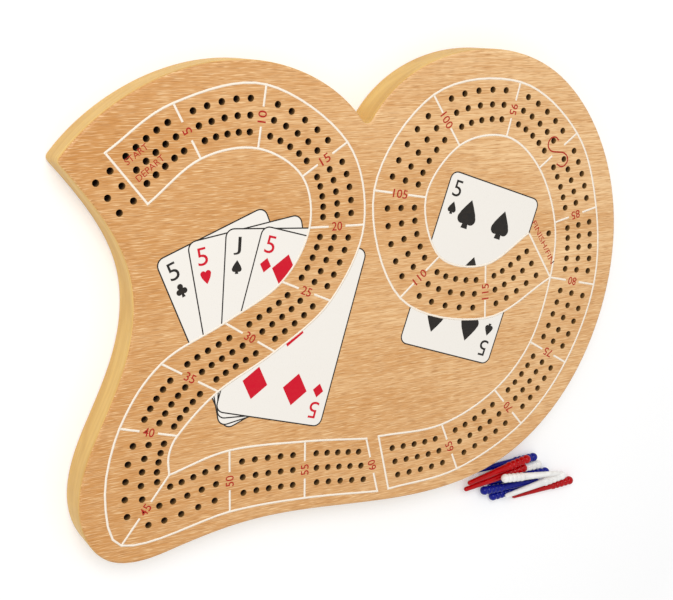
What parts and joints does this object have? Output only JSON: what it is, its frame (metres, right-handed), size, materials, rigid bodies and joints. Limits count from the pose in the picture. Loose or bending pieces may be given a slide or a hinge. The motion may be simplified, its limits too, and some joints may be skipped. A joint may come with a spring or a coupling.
{
  "type": "cribbage board",
  "caption": "Flat wooden cribbage board in the outline of the number 29, with three lanes of peg holes, loose tapered pegs and a peg store under a sliding cover in its back.",
  "frame": {"origin": "centre of the board's plan on its back face, the plane the board rests on", "axes": "+Z out of the playing face, +Y towards the top of the number 29, +X to its right"},
  "size_m": [0.3001, 0.2473, 0.019],
  "materials": {
    "face_wood": "satin",
    "core_wood": "satin",
    "back_wood": "satin",
    "cover_steel": "satin",
    "red_plastic": "gloss",
    "white_plastic": "gloss",
    "blue_plastic": "gloss"
  },
  "bodies": {
    "board": {"face_veneer": "face_wood", "drilled_board": "core_wood", "closing_board": "core_wood", "back_veneer": "back_wood"},
    "cover": {"storage_cover": "cover_steel"},
    "peg_blue_1_body": {"peg_blue_1": "blue_plastic"},
    "peg_white_1_body": {"peg_white_1": "white_plastic"},
    "peg_blue_2_body": {"peg_blue_2": "blue_plastic"},
    "peg_blue_3_body": {"peg_blue_3": "blue_plastic"},
    "peg_blue_4_body": {"peg_blue_4": "blue_plastic"},
    "peg_red_1_body": {"peg_red_1": "red_plastic"},
    "peg_red_2_body": {"peg_red_2": "red_plastic"},
    "peg_red_3_body": {"peg_red_3": "red_plastic"},
    "peg_white_2_body": {"peg_white_2": "white_plastic"},
    "peg_white_3_body": {"peg_white_3": "white_plastic"}
  },
  "joints": [
    {"name": "cover_slide", "type": "slide", "parent": "board", "child": "cover", "axis": [1, 0, 0], "range_m": [0, 0.047]},
    {"name": "peg_blue_1_draw_out", "type": "slide", "parent": "board", "child": "peg_blue_1_body", "axis": [0.999, 0.0436, 0], "range_m": [0, 0.06]},
    {"name": "peg_white_1_draw_out", "type": "slide", "parent": "board", "child": "peg_white_1_body", "axis": [0.999, 0.0436, 0], "range_m": [0, 0.06]},
    {"name": "peg_blue_2_draw_out", "type": "slide", "parent": "board", "child": "peg_blue_2_body", "axis": [0.9997, -0.0192, 0.0175], "range_m": [0, 0.06]},
    {"name": "peg_blue_3_draw_out", "type": "slide", "parent": "board", "child": "peg_blue_3_body", "axis": [-0.9959, -0.0261, 0.0872], "range_m": [0, 0.06]},
    {"name": "peg_blue_4_draw_out", "type": "slide", "parent": "board", "child": "peg_blue_4_body", "axis": [-0.9995, -0.0332, 0], "range_m": [0, 0.06]},
    {"name": "peg_red_1_lift", "type": "slide", "parent": "board", "child": "peg_red_1_body", "axis": [0, 0, 1], "range_m": [0, 0.06]},
    {"name": "peg_red_2_draw_out", "type": "slide", "parent": "board", "child": "peg_red_2_body", "axis": [0.9816, 0.1908, 0], "range_m": [0, 0.06]},
    {"name": "peg_red_3_draw_out", "type": "slide", "parent": "board", "child": "peg_red_3_body", "axis": [-0.9882, -0.1494, -0.0349], "range_m": [0, 0.06]},
    {"name": "peg_white_2_lift", "type": "slide", "parent": "board", "child": "peg_white_2_body", "axis": [0, 0, 1], "range_m": [0, 0.06]},
    {"name": "peg_white_3_lift", "type": "slide", "parent": "board", "child": "peg_white_3_body", "axis": [0, 0, 1], "range_m": [0, 0.06]}
  ]
}
